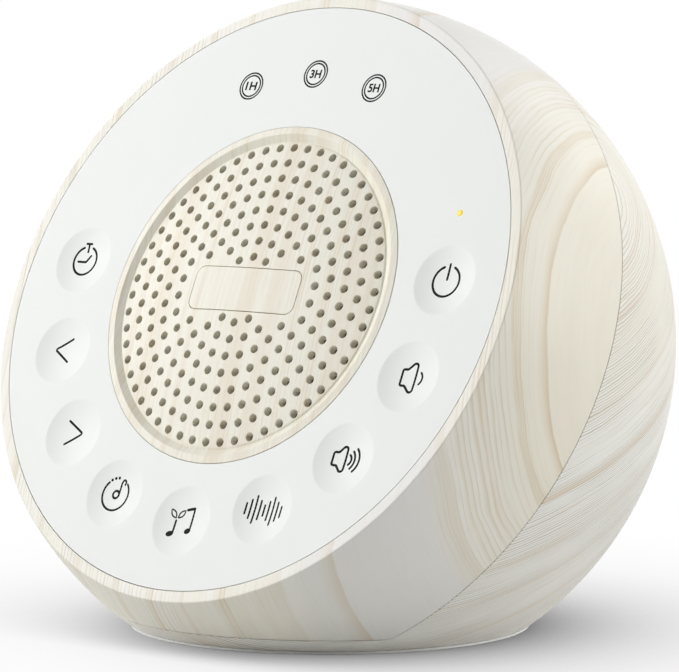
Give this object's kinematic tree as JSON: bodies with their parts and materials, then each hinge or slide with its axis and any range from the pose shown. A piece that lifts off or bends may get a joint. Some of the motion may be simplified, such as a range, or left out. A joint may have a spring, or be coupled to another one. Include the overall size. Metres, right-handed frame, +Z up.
{
  "type": "white noise sound machine",
  "caption": "Ball-shaped bedside white noise machine with a leaning round control face, dished keys in an arc, timer marks and a domed round speaker grille.",
  "frame": {"origin": "centre of the foot pad's underside, on the surface the machine stands on, below the ball's centre", "axes": "+Z up, the control face looks to -Y and leans back 25 degrees, +X to the right as the face is seen"},
  "size_m": [0.12, 0.1043, 0.1091],
  "materials": {
    "wood_film": "cream moulded plastic with a printed pale wood-grain film under satin lacquer",
    "white_plastic": "white moulded plastic, soft satin",
    "black_plastic": "black moulded nylon, matt",
    "grey_plastic": "grey moulded plastic, matt",
    "foot_rubber": "grey silicone rubber",
    "soft_rubber": "black butyl rubber",
    "gasket_foam": "black foam",
    "dark_gauze": "dark grey-olive acoustic gauze",
    "circuit_board": "green solder mask on glass-fibre board",
    "steel": "zinc-plated pressed steel",
    "screw_steel": "zinc-plated steel",
    "plated_metal": "nickel-plated brass",
    "ferrite": "black ferrite",
    "copper": "enamelled copper wire",
    "paper_cone": "black pressed paper",
    "spider_cloth": "tan resin-dipped cloth",
    "amber_clear": "clear plastic lit amber",
    "milky_clear": "milky light-guide plastic",
    "light_chip": "pale light-emitting chips"
  },
  "bodies": {
    "housing": {"front_shell": "wood_film", "rear_shell": "wood_film", "grille": "wood_film", "badge_plate": "wood_film", "face_panel": "white_plastic", "base_plate": "white_plastic", "tact_switches": "black_plastic", "socket_bay": "black_plastic", "dc_jack": "black_plastic", "audio_jack": "black_plastic", "foot_pad": "foot_rubber", "speaker_surround": "soft_rubber", "speaker_gasket": "gasket_foam", "grille_cloth": "dark_gauze", "main_board": "circuit_board", "speaker_frame": "steel", "speaker_top_plate": "steel", "speaker_yoke": "steel", "shell_screws": "screw_steel", "speaker_screws": "screw_steel", "base_screws": "screw_steel", "main_board_screws": "screw_steel", "dc_jack_pin": "plated_metal", "speaker_magnet": "ferrite", "speaker_spider": "spider_cloth", "power_light_pipe": "amber_clear", "timer_light_guides": "milky_clear", "light_chips": "light_chip", "key_board": "circuit_board", "key_board_screws": "screw_steel"},
    "key_power": {"key_power": "white_plastic", "switch_plunger_power": "grey_plastic"},
    "key_volume_down": {"key_volume_down": "white_plastic", "switch_plunger_volume_down": "grey_plastic"},
    "key_volume_up": {"key_volume_up": "white_plastic", "switch_plunger_volume_up": "grey_plastic"},
    "key_white_noise": {"key_white_noise": "white_plastic", "switch_plunger_white_noise": "grey_plastic"},
    "key_nature": {"key_nature": "white_plastic", "switch_plunger_nature": "grey_plastic"},
    "key_lullaby": {"key_lullaby": "white_plastic", "switch_plunger_lullaby": "grey_plastic"},
    "key_next": {"key_next": "white_plastic", "switch_plunger_next": "grey_plastic"},
    "key_previous": {"key_previous": "white_plastic", "switch_plunger_previous": "grey_plastic"},
    "key_timer": {"key_timer": "white_plastic", "switch_plunger_timer": "grey_plastic"},
    "cone_assembly": {"speaker_cone": "paper_cone", "speaker_dust_cap": "paper_cone", "voice_coil": "copper"}
  },
  "joints": [
    {"name": "press_power", "type": "slide", "parent": "housing", "child": "key_power", "axis": [0, 0.9063, -0.4226], "range_m": [0, 0.0005], "stiffness_N_per_m": 2000},
    {"name": "press_volume_down", "type": "slide", "parent": "housing", "child": "key_volume_down", "axis": [0, 0.9063, -0.4226], "range_m": [0, 0.0005], "stiffness_N_per_m": 2000},
    {"name": "press_volume_up", "type": "slide", "parent": "housing", "child": "key_volume_up", "axis": [0, 0.9063, -0.4226], "range_m": [0, 0.0005], "stiffness_N_per_m": 2000},
    {"name": "press_white_noise", "type": "slide", "parent": "housing", "child": "key_white_noise", "axis": [0, 0.9063, -0.4226], "range_m": [0, 0.0005], "stiffness_N_per_m": 2000},
    {"name": "press_nature", "type": "slide", "parent": "housing", "child": "key_nature", "axis": [0, 0.9063, -0.4226], "range_m": [0, 0.0005], "stiffness_N_per_m": 2000},
    {"name": "press_lullaby", "type": "slide", "parent": "housing", "child": "key_lullaby", "axis": [0, 0.9063, -0.4226], "range_m": [0, 0.0005], "stiffness_N_per_m": 2000},
    {"name": "press_next", "type": "slide", "parent": "housing", "child": "key_next", "axis": [0, 0.9063, -0.4226], "range_m": [0, 0.0005], "stiffness_N_per_m": 2000},
    {"name": "press_previous", "type": "slide", "parent": "housing", "child": "key_previous", "axis": [0, 0.9063, -0.4226], "range_m": [0, 0.0005], "stiffness_N_per_m": 2000},
    {"name": "press_timer", "type": "slide", "parent": "housing", "child": "key_timer", "axis": [0, 0.9063, -0.4226], "range_m": [0, 0.0005], "stiffness_N_per_m": 2000},
    {"name": "cone_throw", "type": "slide", "parent": "housing", "child": "cone_assembly", "axis": [0, -0.9063, 0.4226], "range_m": [-0.0008, 0.0008], "stiffness_N_per_m": 1500}
  ]
}
